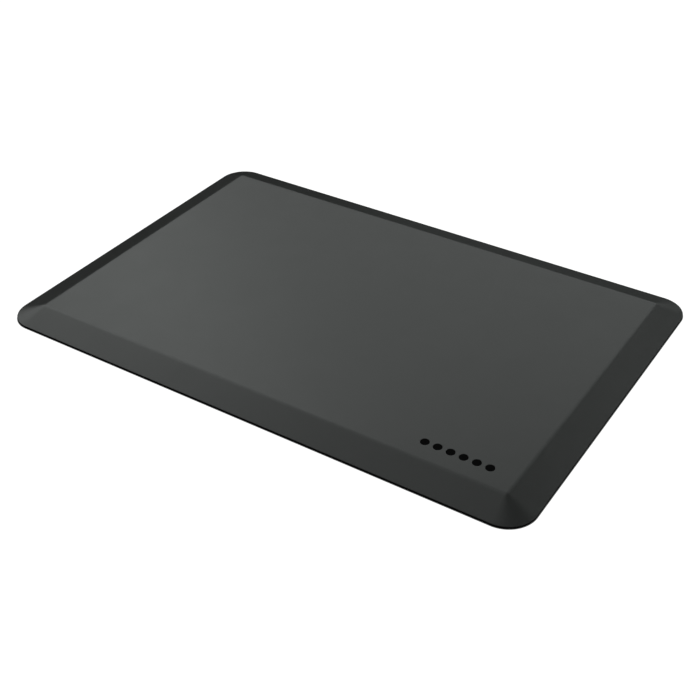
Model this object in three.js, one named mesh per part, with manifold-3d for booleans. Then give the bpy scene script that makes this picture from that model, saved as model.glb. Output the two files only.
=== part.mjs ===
// Anti-fatigue floor mat for a standing desk. Millimetres, +Z up.
// The origin is the middle of the underside, X runs along the long side and the front edge faces -Y.
// A moulded skin, ramped down on all four sides, covers a foam core. Both are bonded to a flat base sheet.
// The plateau has square corners and the outline has round ones, so each corner of the ramp is a cone.

import * as THREE from "three";
import { ConvexGeometry } from "three/addons/geometries/ConvexGeometry.js";
import { mergeVertices } from "three/addons/utils/BufferGeometryUtils.js";
import Module from "manifold-3d";

const wasm = await Module();
wasm.setup();

// Outer form
const LENGTH = 914.4;
const WIDTH = 609.6;
const HEIGHT = 19;
const CORNER_RADIUS = 45;
const CORNER_STEPS = 16;
const RAMP_RUN = 44.5;
const LIP_HEIGHT = 0.2;

// Layers
const BASE_THICKNESS = 3.4;
const BASE_CHAMFER = 0.5;
const SKIN_THICKNESS = 1.5;
const BOND_GAP = 0.3;

// Row of discs let into the plateau, near the right end of the front edge
const DISC_COUNT = 6;
const DISC_RADIUS = 6.5;
const DISC_PITCH = 20;
const DISC_THICKNESS = 0.6;
const DISC_ROW_CENTRE = new THREE.Vector2(321, -227);
const RECESS_DEPTH = 0.8;
const RECESS_CLEARANCE = 0.3;
const DISC_SIDES = 48;

// The ramp climbs from the top of the lip to the plateau.
const LIP_TOP = BASE_THICKNESS + LIP_HEIGHT;
const RAMP_SLOPE = (HEIGHT - LIP_TOP) / RAMP_RUN;
const RAMP_ANGLE = Math.atan(RAMP_SLOPE);

// How far inside the outline the surface at this depth under the ramp is, at height z.
function rampInset(z, depth) {
  return (z - LIP_TOP + depth / Math.cos(RAMP_ANGLE)) / RAMP_SLOPE;
}

// Points of a rectangle inset from the outline, at height z. Its corners are round down to radius 0.
function outline(inset, z) {
  const radius = Math.max(CORNER_RADIUS - inset, 0);
  const steps = radius > 0 ? CORNER_STEPS : 0;
  const points = [];
  for (let corner = 0; corner < 4; corner++) {
    const sideX = corner === 0 || corner === 3 ? 1 : -1;
    const sideY = corner < 2 ? 1 : -1;
    const centreX = sideX * (LENGTH / 2 - inset - radius);
    const centreY = sideY * (WIDTH / 2 - inset - radius);
    for (let step = 0; step <= steps; step++) {
      const turn = (corner + step / Math.max(steps, 1)) * (Math.PI / 2);
      const x = centreX + radius * Math.cos(turn);
      const y = centreY + radius * Math.sin(turn);
      points.push(new THREE.Vector3(x, y, z));
    }
  }
  return points;
}

// The four corners of the plateau of the surface at this depth under the outer one.
function plateau(depth) {
  const z = HEIGHT - depth;
  const inset = rampInset(z, depth);
  const x = LENGTH / 2 - inset;
  const y = WIDTH / 2 - inset;
  return [
    new THREE.Vector3(x, y, z),
    new THREE.Vector3(-x, y, z),
    new THREE.Vector3(-x, -y, z),
    new THREE.Vector3(x, -y, z),
  ];
}

function toSolid(geometry) {
  const bare = geometry.clone();
  bare.deleteAttribute("normal");
  bare.deleteAttribute("uv");
  const merged = mergeVertices(bare, 1e-4);
  const vertProperties = merged.attributes.position.array;
  const triVerts = new Uint32Array(merged.index.array);
  return new wasm.Manifold(new wasm.Mesh({ numProp: 3, vertProperties, triVerts }));
}

function toGeometry(solid) {
  const mesh = solid.getMesh();
  const geometry = new THREE.BufferGeometry();
  geometry.setAttribute("position", new THREE.BufferAttribute(mesh.vertProperties, 3));
  geometry.setIndex(new THREE.BufferAttribute(mesh.triVerts, 1));
  const faceted = geometry.toNonIndexed();
  faceted.computeVertexNormals();
  return faceted;
}

// Every layer of the mat is convex, so it is the hull of its outlines.
function hull(...outlines) {
  return new ConvexGeometry(outlines.flat());
}

// An upright round disc whose underside is at height z.
function disc(radius, thickness, centre, z) {
  const geometry = new THREE.CylinderGeometry(radius, radius, thickness, DISC_SIDES);
  geometry.rotateX(Math.PI / 2);
  geometry.translate(centre.x, centre.y, z + thickness / 2);
  return geometry;
}

function discCentre(index) {
  const along = (index - (DISC_COUNT - 1) / 2) * DISC_PITCH;
  return new THREE.Vector2(DISC_ROW_CENTRE.x + along, DISC_ROW_CENTRE.y);
}

// The skin is a shell, open underneath, with one shallow round recess for each disc.
function topSkin() {
  const foot = outline(0, BASE_THICKNESS);
  const lip = outline(0, LIP_TOP);
  let skin = toSolid(hull(foot, lip, plateau(0)));
  const below = BASE_THICKNESS - 1;
  const mouth = outline(rampInset(below, SKIN_THICKNESS), below);
  skin = skin.subtract(toSolid(hull(mouth, plateau(SKIN_THICKNESS))));
  for (let index = 0; index < DISC_COUNT; index++) {
    const radius = DISC_RADIUS + RECESS_CLEARANCE;
    const floor = HEIGHT - RECESS_DEPTH;
    skin = skin.subtract(toSolid(disc(radius, 2 * RECESS_DEPTH, discCentre(index), floor)));
  }
  return toGeometry(skin);
}

// The core stands on the base sheet and fills the skin, less the bond line.
function foamCore() {
  const depth = SKIN_THICKNESS + BOND_GAP;
  const foot = outline(rampInset(BASE_THICKNESS, depth), BASE_THICKNESS);
  return hull(foot, plateau(depth));
}

// The base sheet has the full outline, and its lower edge is eased so that it doesn't catch.
function baseSheet() {
  const underside = outline(BASE_CHAMFER, 0);
  const edge = outline(0, BASE_CHAMFER);
  return hull(underside, edge, outline(0, BASE_THICKNESS));
}

const skinMaterial = new THREE.MeshStandardMaterial({
  color: 0x313231,
  roughness: 0.55,
  metalness: 0,
});
const foamMaterial = new THREE.MeshStandardMaterial({
  color: 0x565a5c,
  roughness: 0.95,
  metalness: 0,
});
const baseMaterial = new THREE.MeshStandardMaterial({
  color: 0x0b0b0c,
  roughness: 0.8,
  metalness: 0,
});
const discMaterial = new THREE.MeshStandardMaterial({
  color: 0x060606,
  roughness: 0.5,
  metalness: 0,
});

const mat = new THREE.Group();

function addPiece(name, geometry, material) {
  const piece = new THREE.Mesh(geometry, material);
  piece.name = name;
  mat.add(piece);
}

addPiece("base_sheet", baseSheet(), baseMaterial);
addPiece("foam_core", foamCore(), foamMaterial);
addPiece("top_skin", topSkin(), skinMaterial);
for (let index = 0; index < DISC_COUNT; index++) {
  const floor = HEIGHT - RECESS_DEPTH;
  const geometry = disc(DISC_RADIUS, DISC_THICKNESS, discCentre(index), floor);
  addPiece(`inlay_disc_${index + 1}`, geometry, discMaterial);
}

export default mat;
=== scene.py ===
"""The looks of an anti-fatigue floor mat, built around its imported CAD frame. Metres, +Z up.

The mat has a moulded skin with ramped sides, a foam core inside it, and a base sheet with a tread.
The camera stands off the front right corner. The front edge, with the row of inlaid discs, faces -Y.
"""

import math
import bmesh  # noqa: E402
import bpy  # noqa: E402
from mathutils import Matrix, Vector, noise  # noqa: E402


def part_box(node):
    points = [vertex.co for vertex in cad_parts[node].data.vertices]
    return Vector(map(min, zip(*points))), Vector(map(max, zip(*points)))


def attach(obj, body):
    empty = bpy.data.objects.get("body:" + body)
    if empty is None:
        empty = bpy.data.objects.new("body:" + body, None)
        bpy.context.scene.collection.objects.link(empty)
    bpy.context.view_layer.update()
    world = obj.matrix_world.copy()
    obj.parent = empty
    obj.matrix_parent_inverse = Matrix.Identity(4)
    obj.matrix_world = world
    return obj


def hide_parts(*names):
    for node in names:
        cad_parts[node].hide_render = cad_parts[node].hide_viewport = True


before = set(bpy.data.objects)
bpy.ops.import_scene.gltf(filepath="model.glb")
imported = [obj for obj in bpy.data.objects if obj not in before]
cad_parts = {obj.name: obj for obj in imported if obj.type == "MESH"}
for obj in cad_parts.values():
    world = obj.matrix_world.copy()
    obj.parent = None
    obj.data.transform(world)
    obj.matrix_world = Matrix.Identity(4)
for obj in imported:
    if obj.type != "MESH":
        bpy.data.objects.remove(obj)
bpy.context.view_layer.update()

MM = 0.001
SAME_HEIGHT = 0.01 * MM
SAME_SIDE = 0.001 * MM
ABOVE_SEAM = 0.05 * MM

# ---------------------------------------------------------------- sizes from the frame


def points_of(node):
    return [v.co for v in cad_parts[node].data.vertices]


def plateau_of(node):
    """Half sizes of the flat rectangle on top of a node."""
    _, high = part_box(node)
    top = [p for p in points_of(node) if high.z - p.z < SAME_HEIGHT]
    return max(p.x for p in top), max(p.y for p in top)


def corner_radius_of(node):
    """Radius of a node's rounded outer corners, seen from above."""
    _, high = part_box(node)
    side = [p for p in points_of(node) if high.x - p.x < SAME_SIDE]
    return high.y - max(p.y for p in side)


SKIN_LOW, SKIN_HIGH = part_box("top_skin")
CORE_LOW, CORE_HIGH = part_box("foam_core")
HALF_X, HALF_Y = SKIN_HIGH.x, SKIN_HIGH.y
TOP = SKIN_HIGH.z
SEAM = SKIN_LOW.z
EDGE_X, EDGE_Y = plateau_of("top_skin")
CORNER = corner_radius_of("top_skin")
RAMP_RUN = HALF_X - EDGE_X
LIP_TOP = min(p.z for p in points_of("top_skin") if p.z > SEAM + ABOVE_SEAM)
SLOPE = (TOP - LIP_TOP) / RAMP_RUN
RAMP_ANGLE = math.atan(SLOPE)
DISC_NODES = sorted(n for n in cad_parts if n.startswith("inlay_disc"))

# ---------------------------------------------------------------- sizes of the fine shapes

SKIN_THICKNESS = 1.5 * MM
ARRIS_RADIUS = 20 * MM
ARRIS_STEPS = 8
FOOT_RADIUS = 0.25 * MM
FOOT_STEPS = 6
RAMP_STEPS = 8
RAMP_SUPPORT = 0.012
CORNER_STEPS = 28
GRID_PITCH = 20 * MM
SUPPORT = 1 * MM

RECESS_GAP = 0.3 * MM
RECESS_DEPTH = 0.8 * MM
RECESS_EDGE = 0.3 * MM
RECESS_STEPS = 4
DISC_EDGE = 0.15 * MM
DISC_STEPS = 3
DISC_RINGS = (0.75, 0.5, 0.25)
ROUND_SIDES = 64

BASE_EDGE = 0.5 * MM
BASE_EDGE_STEPS = 5
BASE_TOP_EDGE = 0.3 * MM
BASE_TOP_STEPS = 3
TREAD_MARGIN = 20 * MM
TREAD_PITCH = 20 * MM
TREAD_DEPTH = 0.9 * MM
GROOVE_WIDTH = 2.4 * MM
GROOVE_SLOPE = 0.7 * MM

CORE_EDGE = 1.2 * MM
CORE_EDGE_STEPS = 3
CORE_PITCH = 10 * MM
CORE_UNEVEN = 0.12 * MM

# ---------------------------------------------------------------- mesh building


def spread(half, pitch):
    """Places from -half to half: one close to each end, and the rest evenly spaced."""
    inner = half - SUPPORT
    count = max(2, round(2 * inner / pitch))
    return [-half] + [inner * (2 * k / count - 1) for k in range(count + 1)] + [half]


class Grid:
    """A rectangular grid of vertices, with its boundary as a ring that runs anticlockwise from above."""

    def __init__(self, bm, xs, ys, height):
        self.bm = bm
        self.xs, self.ys = xs, ys
        self.verts = [[bm.verts.new((x, y, height(i, j))) for j, y in enumerate(ys)]
                      for i, x in enumerate(xs)]

    def fill(self, skip=lambda i, j: False):
        v = self.verts
        for i in range(len(self.xs) - 1):
            for j in range(len(self.ys) - 1):
                if not skip(i, j):
                    self.bm.faces.new((v[i][j], v[i + 1][j], v[i + 1][j + 1], v[i][j + 1]))

    def sides(self):
        """The four sides, each from corner to corner: right, back, left, front."""
        v = self.verts
        right = list(v[-1])
        back = [column[-1] for column in reversed(v)]
        left = list(reversed(v[0]))
        front = [column[0] for column in v]
        return [right, back, left, front]

    def ring(self, corner_steps):
        """The boundary, with each corner's vertex once for each station of the round corner beside it."""
        ring = []
        for side in self.sides():
            ring += side + [side[-1]] * (corner_steps - 1)
        return ring


def stations(grid, half_x, half_y, radius, corner_steps):
    """One (outward direction, place on the rounded outline) for each vertex of the grid's ring."""
    found = []
    straight = [half_y - radius, half_x - radius]
    centres = [(1, 1), (-1, 1), (-1, -1), (1, -1)]
    for side, verts in enumerate(grid.sides()):
        start = side * math.pi / 2
        out = Vector((math.cos(start), math.sin(start), 0))
        along = Vector((-math.sin(start), math.cos(start), 0))
        reach = half_x if side % 2 == 0 else half_y
        for k in range(len(verts)):
            share = grid_share(grid, side, k)
            found.append((out, out * reach + along * share * straight[side % 2]))
        sign_x, sign_y = centres[side]
        centre = Vector((sign_x * (half_x - radius), sign_y * (half_y - radius), 0))
        for step in range(1, corner_steps):
            turn = start + step / corner_steps * math.pi / 2
            way = Vector((math.cos(turn), math.sin(turn), 0))
            found.append((way, centre + way * radius))
    return found


def grid_share(grid, side, k):
    """How far along a side its k-th vertex is, from -1 to 1, anticlockwise."""
    places = grid.ys if side % 2 == 0 else grid.xs
    half = places[-1]
    return places[k] / half if side in (0, 3) else -places[-1 - k] / half


def add_ring(bm, places):
    return [bm.verts.new(p) for p in places]


def bridge(bm, inner, outer):
    """Faces between two rings of the same length. Neighbours that are one vertex make a triangle."""
    for k in range(len(inner)):
        n = (k + 1) % len(inner)
        corners = []
        for v in (inner[k], outer[k], outer[n], inner[n]):
            if v not in corners:
                corners.append(v)
        if len(corners) > 2:
            bm.faces.new(corners)


def finish_piece(bm, name, material, sharp=35):
    bmesh.ops.recalc_face_normals(bm, faces=bm.faces)
    mesh = bpy.data.meshes.new(name)
    bm.to_mesh(mesh)
    bm.free()
    mesh.shade_smooth()
    mesh.set_sharp_from_angle(angle=math.radians(sharp))
    mesh.materials.append(material)
    piece = bpy.data.objects.new(name, mesh)
    bpy.context.scene.collection.objects.link(piece)
    return piece


# ---------------------------------------------------------------- the skin


def arris_rings(bm, around, flat, start_angle, end_angle, radius, steps, centre_height):
    """Rings that round an edge: the surface turns down from start_angle to end_angle at this radius."""
    rings = []
    for step in range(1, steps + 1):
        angle = start_angle + (end_angle - start_angle) * step / steps
        out = radius * math.sin(angle)
        height = centre_height + radius * math.cos(angle)
        rings.append(add_ring(bm, [p + way * out + Vector((0, 0, height))
                                   for (way, _), p in zip(around, flat)]))
    return rings


def between(bm, start, end, steps, support=0.0):
    """Rings at even steps between two rings, and one more at this share of the way from each end."""
    shares = [step / steps for step in range(1, steps)]
    if support:
        shares = [support] + shares + [1 - support]
    return [add_ring(bm, [a.co.lerp(b.co, share) for a, b in zip(start, end)]) for share in shares]


def in_plan(ring):
    return [Vector((v.co.x, v.co.y, 0)) for v in ring]


def skin_grid(bm):
    """The plateau, up to where it starts to turn down into the ramps. The discs' cells stay open."""
    turn = ARRIS_RADIUS * math.tan(RAMP_ANGLE / 2)
    xs, ys = spread(EDGE_X - turn, GRID_PITCH), spread(EDGE_Y - turn, GRID_PITCH)
    grid = Grid(bm, xs, ys, lambda i, j: TOP)
    boxes = [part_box(n) for n in DISC_NODES]
    margin = RECESS_GAP + 2 * RECESS_EDGE + SUPPORT
    low_x = min(low.x for low, _ in boxes) - margin
    high_x = max(high.x for _, high in boxes) + margin
    low_y, high_y = boxes[0][0].y - margin, boxes[0][1].y + margin
    left = max(i for i, x in enumerate(xs) if x < low_x)
    right = min(i for i, x in enumerate(xs) if x > high_x)
    front = max(j for j, y in enumerate(ys) if y < low_y)
    back = min(j for j, y in enumerate(ys) if y > high_y)
    grid.fill(skip=lambda i, j: left <= i < right and front <= j < back)
    hole = [grid.verts[i][front] for i in range(left, right)]
    hole += [grid.verts[right][j] for j in range(front, back)]
    hole += [grid.verts[i][back] for i in range(right, left, -1)]
    hole += [grid.verts[left][j] for j in range(back, front, -1)]
    return grid, hole


def circle(centre, radius, z):
    turns = [2 * math.pi * k / ROUND_SIDES for k in range(ROUND_SIDES)]
    return [Vector((centre.x + radius * math.cos(t), centre.y + radius * math.sin(t), z)) for t in turns]


def recess(bm, node):
    """A round recess with a softened rim, let into the plateau around a disc. Returns its rim."""
    low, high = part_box(node)
    centre, radius = (low + high) / 2, (high.x - low.x) / 2 + RECESS_GAP
    rim = add_ring(bm, circle(centre, radius + 2 * RECESS_EDGE, TOP))
    ring = add_ring(bm, circle(centre, radius + RECESS_EDGE, TOP))
    bridge(bm, rim, ring)
    for step in range(1, RECESS_STEPS + 1):
        angle = step / RECESS_STEPS * math.pi / 2
        out = radius + RECESS_EDGE * (1 - math.sin(angle))
        down = TOP - RECESS_EDGE * (1 - math.cos(angle))
        lower = add_ring(bm, circle(centre, out, down))
        bridge(bm, ring, lower)
        ring = lower
    floor = add_ring(bm, circle(centre, radius, TOP - RECESS_DEPTH))
    bridge(bm, ring, floor)
    bm.faces.new(floor)
    return rim


def fill_between(bm, loops):
    """Triangles in the flat area between an outer loop and the loops inside it."""
    edges = []
    for loop in loops:
        for k, v in enumerate(loop):
            pair = (v, loop[(k + 1) % len(loop)])
            edges.append(bm.edges.get(pair) or bm.edges.new(pair))
    bmesh.ops.triangle_fill(bm, use_beauty=True, use_dissolve=False, edges=edges)


def inset_at(z, depth):
    """How far inside the outline the surface at this depth under the ramp is, at height z."""
    return (z - LIP_TOP + depth / math.cos(RAMP_ANGLE)) / SLOPE


def make_skin(material):
    bm = bmesh.new()
    grid, hole = skin_grid(bm)
    fill_between(bm, [hole] + [recess(bm, node) for node in DISC_NODES])
    around = stations(grid, HALF_X, HALF_Y, CORNER, CORNER_STEPS)
    edge = grid.ring(CORNER_STEPS)
    rings = [edge]
    rings += arris_rings(bm, around, in_plan(edge), 0, RAMP_ANGLE, ARRIS_RADIUS, ARRIS_STEPS,
                         TOP - ARRIS_RADIUS)
    sine, cosine = math.sin(RAMP_ANGLE), math.cos(RAMP_ANGLE)
    foot_height = LIP_TOP + FOOT_RADIUS * (1 - sine) * SLOPE - FOOT_RADIUS * cosine
    foot_plan = [p - way * FOOT_RADIUS for way, p in around]
    start = add_ring(bm, [p + way * FOOT_RADIUS * sine + Vector((0, 0, foot_height + FOOT_RADIUS * cosine))
                          for (way, _), p in zip(around, foot_plan)])
    rings += between(bm, rings[-1], start, RAMP_STEPS, RAMP_SUPPORT) + [start]
    rings += arris_rings(bm, around, foot_plan, RAMP_ANGLE, math.pi / 2, FOOT_RADIUS, FOOT_STEPS,
                         foot_height)
    rings.append(add_ring(bm, [p + Vector((0, 0, SEAM)) for _, p in around]))
    rings += skin_inside(bm, len(grid.xs), len(grid.ys))
    for inner, outer in zip(rings, rings[1:]):
        bridge(bm, inner, outer)
    return finish_piece(bm, "skin_shell", material)


def skin_inside(bm, columns, rows):
    """Two rings, of the skin's mouth and of its ceiling. The ceiling has as many cells as the plateau."""
    ceiling = TOP - SKIN_THICKNESS
    inset = inset_at(ceiling, SKIN_THICKNESS)
    xs = [(HALF_X - inset) * (2 * k / (columns - 1) - 1) for k in range(columns)]
    ys = [(HALF_Y - inset) * (2 * k / (rows - 1) - 1) for k in range(rows)]
    grid = Grid(bm, xs, ys, lambda i, j: ceiling)
    grid.fill()
    mouth = inset_at(SEAM, SKIN_THICKNESS)
    around = stations(grid, HALF_X - mouth, HALF_Y - mouth, CORNER - mouth, CORNER_STEPS)
    return [add_ring(bm, [p + Vector((0, 0, SEAM)) for _, p in around]), grid.ring(CORNER_STEPS)]


# ---------------------------------------------------------------- the foam core


def make_core(material):
    """The foam block, with soft edges and the slight unevenness of cut foam on its top."""
    bm = bmesh.new()
    (edge_x, edge_y), z = plateau_of("foam_core"), CORE_HIGH.z
    turn = CORE_EDGE * math.tan(RAMP_ANGLE / 2)
    xs, ys = spread(edge_x - turn, CORE_PITCH), spread(edge_y - turn, CORE_PITCH)

    def height(i, j):
        inner = 0 < i < len(xs) - 1 and 0 < j < len(ys) - 1
        wave = noise.noise(Vector((xs[i], ys[j], 0)) / (4 * CORE_PITCH))
        return z - CORE_UNEVEN * (1 + wave) / 2 if inner else z

    grid = Grid(bm, xs, ys, height)
    grid.fill()
    half_x, half_y, radius = CORE_HIGH.x, CORE_HIGH.y, corner_radius_of("foam_core")
    around = stations(grid, half_x, half_y, radius, CORNER_STEPS)
    edge = grid.ring(CORNER_STEPS)
    rings = [edge]
    rings += arris_rings(bm, around, in_plan(edge), 0, RAMP_ANGLE, CORE_EDGE,
                         CORE_EDGE_STEPS, z - CORE_EDGE)
    foot = add_ring(bm, [p + Vector((0, 0, CORE_LOW.z)) for _, p in around])
    rings += between(bm, rings[-1], foot, RAMP_STEPS) + [foot]
    for inner, outer in zip(rings, rings[1:]):
        bridge(bm, inner, outer)
    under = Grid(bm, xs, ys, lambda i, j: CORE_LOW.z)
    under.fill()
    bridge(bm, foot, under.ring(CORNER_STEPS))
    return finish_piece(bm, "foam_block", material)


# ---------------------------------------------------------------- the base sheet and its tread


def tread_lines(half):
    """Places across the tread, and how deep each is cut: a groove, a lug, a groove and so on."""
    lugs = round((2 * half - GROOVE_WIDTH) / TREAD_PITCH)
    pitch = (2 * half - GROOVE_WIDTH) / lugs
    places, depths = [], []
    for k in range(lugs + 1):
        start = -half + k * pitch
        places += [start, start + GROOVE_SLOPE, start + GROOVE_WIDTH - GROOVE_SLOPE, start + GROOVE_WIDTH]
        depths += [0, TREAD_DEPTH, TREAD_DEPTH, 0]
    return places, depths


def make_base(material):
    """The base sheet. Its underside has a smooth border and a field of square lugs between grooves."""
    bm = bmesh.new()
    xs, depths_x = tread_lines(HALF_X - TREAD_MARGIN)
    ys, depths_y = tread_lines(HALF_Y - TREAD_MARGIN)

    def height(i, j):
        border = i in (0, len(xs) - 1) or j in (0, len(ys) - 1)
        return 0 if border else max(depths_x[i], depths_y[j])

    tread = Grid(bm, xs, ys, height)
    tread.fill()
    around = stations(tread, HALF_X, HALF_Y, CORNER, CORNER_STEPS)
    rings = [tread.ring(CORNER_STEPS)]
    for step in range(BASE_EDGE_STEPS + 1):
        angle = step / BASE_EDGE_STEPS * math.pi / 2
        inset, z = BASE_EDGE * (1 - math.sin(angle)), BASE_EDGE * (1 - math.cos(angle))
        rings.append(add_ring(bm, [p - way * inset + Vector((0, 0, z)) for way, p in around]))
    for step in range(BASE_TOP_STEPS + 1):
        angle = step / BASE_TOP_STEPS * math.pi / 2
        inset, z = BASE_TOP_EDGE * (1 - math.cos(angle)), BASE_TOP_EDGE * (1 - math.sin(angle))
        rings.append(add_ring(bm, [p - way * inset + Vector((0, 0, SEAM - z)) for way, p in around]))
    top = Grid(bm, xs, ys, lambda i, j: SEAM)
    top.fill()
    rings.append(top.ring(CORNER_STEPS))
    for inner, outer in zip(rings, rings[1:]):
        bridge(bm, inner, outer)
    return finish_piece(bm, "tread_sheet", material)


# ---------------------------------------------------------------- the inlaid discs


def make_disc(node, name, material):
    """An inlaid disc with a softened upper edge."""
    bm = bmesh.new()
    low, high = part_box(node)
    half, radius = (high.z - low.z) / 2, (high.x - low.x) / 2
    middle = Vector((0, 0, 0))
    rings = [add_ring(bm, circle(middle, radius, -half))]
    bm.faces.new(rings[0])
    for step in range(DISC_STEPS + 1):
        angle = step / DISC_STEPS * math.pi / 2
        out = radius - DISC_EDGE * (1 - math.cos(angle))
        rings.append(add_ring(bm, circle(middle, out, half - DISC_EDGE * (1 - math.sin(angle)))))
    for share in DISC_RINGS:
        rings.append(add_ring(bm, circle(middle, (radius - DISC_EDGE) * share, half)))
    for inner, outer in zip(rings, rings[1:]):
        bridge(bm, inner, outer)
    bm.faces.new(rings[-1])
    disc = finish_piece(bm, name, material)
    disc.location = (low + high) / 2
    return disc


# ---------------------------------------------------------------- materials

CHARCOAL = (0.0262, 0.0272, 0.0266)
CHARCOAL_WORN = (0.034, 0.035, 0.0345)
# painted shade: the skin turns black along its rim so that the dark band at the mat's foot reads thicker
RIM_SHADE_BLACK = (0.003, 0.003, 0.003)
RIM_START = 0.1 * MM
RIM_END = 0.4 * MM
RIM_ROUGHNESS = 0.75
SKIN_ROUGHNESS = 0.33
SKIN_UNEVEN = 0.012
GRAIN_SIZE = 1.1 * MM
GRAIN_HEIGHT = 0.035 * MM
WEAR_WIDTH = 5 * MM

FOAM_GREY = (0.085, 0.092, 0.096)
# painted shade for the pits of the pores
FOAM_PORE_SHADE = (0.05, 0.055, 0.058)
FOAM_PALE = (0.11, 0.116, 0.12)
PORE_SIZE = 1.6 * MM
PORE_DEPTH = 0.45 * MM

RUBBER = (0.0022, 0.0023, 0.0023)
RUBBER_PALE = (0.004, 0.004, 0.004)
DUST = (0.03, 0.029, 0.0275)
DUST_HEIGHT = 0.15 * MM

INLAY = (0.0012, 0.0012, 0.0013)
INLAY_PALE = (0.003, 0.003, 0.003)
INLAY_RUBBED = (0.005, 0.005, 0.005)
RUBBED_WIDTH = 0.9 * MM


class Recipe:
    """The node tree of one material. Each step adds a node and gives back its output."""

    def __init__(self, name, specular):
        self.material = bpy.data.materials.new(name)
        self.material.use_nodes = True
        self.tree = self.material.node_tree
        self.shader = self.tree.nodes["Principled BSDF"]
        self.shader.inputs["Specular IOR Level"].default_value = specular

    def wire(self, socket, value):
        if isinstance(value, bpy.types.NodeSocket):
            self.tree.links.new(value, socket)
        else:
            socket.default_value = value

    def add(self, kind, inputs, output=0, **settings):
        node = self.tree.nodes.new("ShaderNode" + kind)
        for key, value in settings.items():
            setattr(node, key, value)
        for key, value in inputs.items():
            self.wire(node.inputs[key], value)
        return node.outputs[output]

    def place(self):
        """Where a point is on its piece, in metres."""
        return self.add("TexCoord", {}, "Object")

    def clouds(self, size, detail=2.0):
        """Soft noise from about 0.3 to 0.7, with features of this size."""
        return self.add("TexNoise", {"Vector": self.place(), "Scale": 1 / size, "Detail": detail})

    def pebbles(self, size):
        """Small rounded cells of this size: 0 in the middle of each, higher at its rim."""
        return self.add("TexVoronoi", {"Vector": self.place(), "Scale": 1 / size}, "Distance",
                        feature="SMOOTH_F1")

    def math(self, operation, a, b=0.0):
        return self.add("Math", {0: a, 1: b}, operation=operation)

    def remap(self, value, low, high, to_low, to_high, kind="LINEAR"):
        return self.add("MapRange", {0: value, 1: low, 2: high, 3: to_low, 4: to_high},
                        interpolation_type=kind)

    def blend(self, share, a, b):
        """From colour a to colour b."""
        return self.add("Mix", {0: share, 6: (*a, 1) if isinstance(a, tuple) else a, 7: (*b, 1)}, 2,
                        data_type="RGBA")

    def bump(self, height, distance, under=None):
        inputs = {"Height": height, "Distance": distance, "Strength": 1.0}
        if under is not None:
            inputs["Normal"] = under
        return self.add("Bump", inputs)

    def finish(self, color, roughness, normal):
        self.wire(self.shader.inputs["Base Color"], color)
        self.wire(self.shader.inputs["Roughness"], roughness)
        self.wire(self.shader.inputs["Normal"], normal)
        return self.material


def near_arris(recipe):
    """1 along the edge between the plateau and the ramps, and 0 a few millimetres away from it."""
    x, y = (recipe.math("ABSOLUTE", recipe.add("SeparateXYZ", {0: recipe.place()}, k)) for k in (0, 1))
    beyond = recipe.math("MAXIMUM", recipe.math("SUBTRACT", x, EDGE_X), recipe.math("SUBTRACT", y, EDGE_Y))
    return recipe.remap(recipe.math("ABSOLUTE", beyond), 0.0, WEAR_WIDTH, 1.0, 0.0, "SMOOTHSTEP")


def rim_painted_shade(recipe):
    """1 on the skin's rim, where it meets the base sheet, and 0 just above it. It marks where painted
    shade turns the skin black and rougher.
    """
    height = recipe.add("SeparateXYZ", {0: recipe.place()}, 2)
    return recipe.remap(height, LIP_TOP + RIM_START, LIP_TOP + RIM_END, 1.0, 0.0)


def skin_material():
    """Charcoal polyurethane with a fine pebbled grain, rubbed a little along the edge of the plateau, with
    black shade painted along its rim at the foot.
    """
    recipe = Recipe("charcoal_skin", 0.5)
    broken = recipe.remap(recipe.clouds(14 * MM), 0.35, 0.65, 0.2, 1.0)
    worn = recipe.math("MULTIPLY", near_arris(recipe), broken)
    mottled = recipe.remap(recipe.clouds(60 * MM, 4), 0.3, 0.7, 0.0, 0.22)
    color = recipe.blend(mottled, CHARCOAL, CHARCOAL_WORN)
    color = recipe.blend(recipe.math("MULTIPLY", worn, 0.6), color, CHARCOAL_WORN)
    uneven = recipe.remap(recipe.clouds(35 * MM, 3), 0.3, 0.7, SKIN_ROUGHNESS - SKIN_UNEVEN,
                          SKIN_ROUGHNESS + SKIN_UNEVEN)
    roughness = recipe.math("SUBTRACT", uneven, recipe.math("MULTIPLY", worn, 0.03))
    rim = rim_painted_shade(recipe)
    # painted shade: black on the skin's rim, just above the base sheet
    color = recipe.blend(rim, color, RIM_SHADE_BLACK)
    roughness = recipe.math("MAXIMUM", roughness, recipe.math("MULTIPLY", rim, RIM_ROUGHNESS))
    fine = recipe.bump(recipe.clouds(0.35 * MM, 1), 0.25 * GRAIN_HEIGHT)
    return recipe.finish(color, roughness, recipe.bump(recipe.pebbles(GRAIN_SIZE), GRAIN_HEIGHT, fine))


def foam_material():
    """Grey open-cell foam with pitted pores of two sizes, and painted shade in the pits of the larger
    pores.
    """
    recipe = Recipe("grey_foam", 0.25)
    pores = recipe.pebbles(PORE_SIZE)
    # painted shade: darker in the middle of each pore's pit
    color = recipe.blend(recipe.remap(pores, 0.1, 0.6, 1.0, 0.0), FOAM_GREY, FOAM_PORE_SHADE)
    color = recipe.blend(recipe.remap(recipe.clouds(30 * MM, 3), 0.35, 0.7, 0.0, 0.5), color,
                         FOAM_PALE)
    small = recipe.bump(recipe.clouds(0.5 * MM, 2), 0.1 * MM)
    roughness = recipe.remap(recipe.clouds(8 * MM), 0.3, 0.7, 0.88, 0.98)
    return recipe.finish(color, roughness, recipe.bump(pores, PORE_DEPTH, small))


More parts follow.
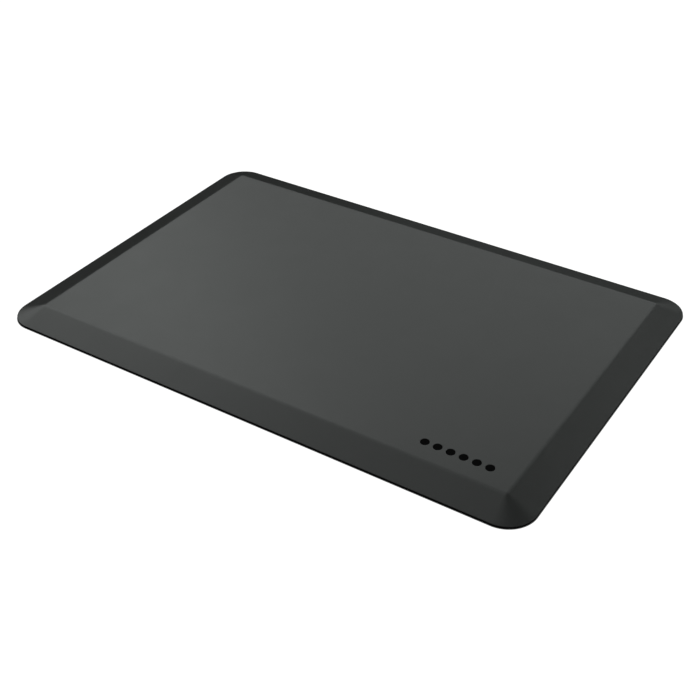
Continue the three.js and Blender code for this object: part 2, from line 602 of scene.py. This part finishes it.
def base_material():
    """Black rubber with a fine moulded texture, a little dusty on the lugs that touch the floor."""
    recipe = Recipe("black_rubber", 0.05)
    height = recipe.add("SeparateXYZ", {0: recipe.place()}, 2)
    touching = recipe.remap(height, 0.0, DUST_HEIGHT, 1.0, 0.0)
    dust = recipe.math("MULTIPLY", touching, recipe.remap(recipe.clouds(9 * MM, 4), 0.4, 0.7, 0.1, 0.9))
    mottled = recipe.remap(recipe.clouds(25 * MM, 3), 0.3, 0.7, 0.0, 0.35)
    color = recipe.blend(mottled, RUBBER, RUBBER_PALE)
    color = recipe.blend(dust, color, DUST)
    roughness = recipe.remap(recipe.clouds(12 * MM, 3), 0.3, 0.7, 0.72, 0.84)
    grain = recipe.bump(recipe.pebbles(0.9 * MM), 0.03 * MM)
    return recipe.finish(color, roughness, recipe.bump(recipe.clouds(0.3 * MM, 1), 0.01 * MM, grain))


def disc_material():
    """Matte black inlay with a faint speckle, rubbed a little greyer around its rim."""
    recipe = Recipe("black_inlay", 0.04)
    out = recipe.add("VectorMath", {0: recipe.place()}, "Value", operation="LENGTH")
    low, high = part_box(DISC_NODES[0])
    radius = (high.x - low.x) / 2
    rubbed = recipe.remap(out, radius - RUBBED_WIDTH, radius, 0.0, 1.0, "SMOOTHSTEP")
    rubbed = recipe.math("MULTIPLY", rubbed, recipe.remap(recipe.clouds(3 * MM), 0.35, 0.65, 0.2, 0.8))
    speckle = recipe.remap(recipe.clouds(0.8 * MM, 3), 0.35, 0.65, 0.0, 0.4)
    color = recipe.blend(speckle, INLAY, INLAY_PALE)
    color = recipe.blend(rubbed, color, INLAY_RUBBED)
    roughness = recipe.remap(recipe.clouds(2 * MM), 0.3, 0.7, 0.75, 0.85)
    return recipe.finish(color, roughness, recipe.bump(recipe.pebbles(0.7 * MM), 0.02 * MM))


# ---------------------------------------------------------------- the studio

CAMERA_PLACE = (0.8590, -1.2889, 1.0595)
CAMERA_PAN = 32.79
CAMERA_TILT = 36.155
CAMERA_ROLL = -0.48
CAMERA_LENS = 60.13
SENSOR_WIDTH = 36
CAMERA_SHIFT = -0.0211
FLOOR_HALF = 30  # metres
FLOOR_GREY = (0.2, 0.2, 0.2, 1)
FLOOR_ROUGHNESS = 0.9
FLOOR_HEIGHT = -0.1 * MM
FLOOR_GLOW = 1.0  # as white as the background, so that no line shows where the floor ends
# painted contact shadow: the floor's glow stays this low out to the first distance beyond the mat's
# outline, and is full again at the second
PAINTED_SHADOW_GLOW = 0.05
PAINTED_SHADOW_DARK = 0.7 * MM
PAINTED_SHADOW_END = 1 * MM
LIGHT_COLOR = (0.957, 1.0, 0.98)
LIGHTS = {  # azimuth and elevation in degrees, distance, width and height in metres, strength
    "left": (82, 35, 3.8, 1.9, 3.4, 0.94),
    "rear": (25, 35, 3.5, 4.2, 2.1, 0.94),
    "overhead": (71, 59, 2.6, 2.3, 3.4, 0.66),
    "right_rear": (308, 22, 2.6, 2.2, 1.5, 1.16),
    "right_side": (285, 30, 2.6, 2.2, 1.6, 1.48),
    "horizon": (0, 10, 3.0, 3.0, 0.8, 0.17),
    "near": (225, 30, 3.0, 3.2, 1.9, 0.4),
}


def make_camera():
    data = bpy.data.cameras.new("camera")
    data.lens = CAMERA_LENS
    data.sensor_width = SENSOR_WIDTH
    data.shift_x = CAMERA_SHIFT
    camera = bpy.data.objects.new("camera", data)
    camera.location = CAMERA_PLACE
    pan, tilt, roll = (math.radians(a) for a in (CAMERA_PAN, CAMERA_TILT, CAMERA_ROLL))
    turn = Matrix.Rotation(pan, 3, "Z") @ Matrix.Rotation(math.pi / 2 - tilt, 3, "X")
    camera.rotation_euler = (turn @ Matrix.Rotation(roll, 3, "Z")).to_euler()
    bpy.context.scene.collection.objects.link(camera)
    bpy.context.scene.camera = camera


def softbox(name, azimuth, elevation, distance, width, height, strength):
    """A rectangular soft light that faces the mat. Azimuth 0 is +Y and 90 is -X."""
    a, e = math.radians(azimuth), math.radians(elevation)
    away = Vector((-math.sin(a) * math.cos(e), math.cos(a) * math.cos(e), math.sin(e)))
    data = bpy.data.lights.new(name, "AREA")
    data.shape = "RECTANGLE"
    data.size, data.size_y = width, height
    data.energy = strength * math.pi * width * height
    data.color = LIGHT_COLOR
    light = bpy.data.objects.new(name, data)
    light.location = away * distance
    light.rotation_euler = away.to_track_quat("Z", "Y").to_euler()
    light.visible_camera = False
    bpy.context.scene.collection.objects.link(light)


def from_outline(recipe):
    """How far a point on the floor is outside the mat's outline, in metres."""
    straight = (HALF_X - CORNER, HALF_Y - CORNER, 1)
    beyond = recipe.add("VectorMath", {0: recipe.place()}, operation="ABSOLUTE")
    beyond = recipe.add("VectorMath", {0: beyond, 1: straight}, operation="SUBTRACT")
    beyond = recipe.add("VectorMath", {0: beyond, 1: (0, 0, 0)}, operation="MAXIMUM")
    reach = recipe.add("VectorMath", {0: beyond}, "Value", operation="LENGTH")
    return recipe.math("SUBTRACT", reach, CORNER)


def floor_material():
    """A floor that glows as white as the background, with a painted contact shadow: its glow is dark only
    where the mat meets it.
    """
    recipe = Recipe("pale_floor", 0.0)
    recipe.shader.inputs["Base Color"].default_value = FLOOR_GREY
    recipe.shader.inputs["Roughness"].default_value = FLOOR_ROUGHNESS
    recipe.shader.inputs["Emission Color"].default_value = (1, 1, 1, 1)
    # painted contact shadow: the glow is dimmed in a thin band around the mat's outline
    glow = recipe.remap(from_outline(recipe), PAINTED_SHADOW_DARK, PAINTED_SHADOW_END, PAINTED_SHADOW_GLOW, FLOOR_GLOW)
    recipe.wire(recipe.shader.inputs["Emission Strength"], glow)
    return recipe.material


def make_floor():
    bm = bmesh.new()
    corners = ((-1, -1), (1, -1), (1, 1), (-1, 1))
    bm.faces.new([bm.verts.new((x * FLOOR_HALF, y * FLOOR_HALF, FLOOR_HEIGHT)) for x, y in corners])
    floor = finish_piece(bm, "floor", floor_material())
    floor.visible_glossy = False


def make_world():
    world = bpy.data.worlds.new("studio")
    world.use_nodes = True
    world.node_tree.nodes["Background"].inputs["Color"].default_value = (1, 1, 1, 1)
    bpy.context.scene.world = world  # before the next lines, which tell the scene's world to update
    world.cycles_visibility.diffuse = False
    world.cycles_visibility.glossy = False
    bpy.context.scene.view_settings.view_transform = "Standard"


# ---------------------------------------------------------------- the scene

skin = make_skin(skin_material())
core = make_core(foam_material())
base = make_base(base_material())
black = disc_material()
pieces = [(skin, "skin", ["top_skin"]), (core, "foam", ["foam_core"]), (base, "base", ["base_sheet"])]
for index, node in enumerate(DISC_NODES):
    disc = make_disc(node, f"inlay_{index + 1}", black)
    pieces.append((disc, "inlay", [node]))
for piece, slot, nodes in pieces:
    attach(piece, "root")
    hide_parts(*nodes)

make_camera()
for light_name, placing in LIGHTS.items():
    softbox(light_name, *placing)
make_floor()
make_world()
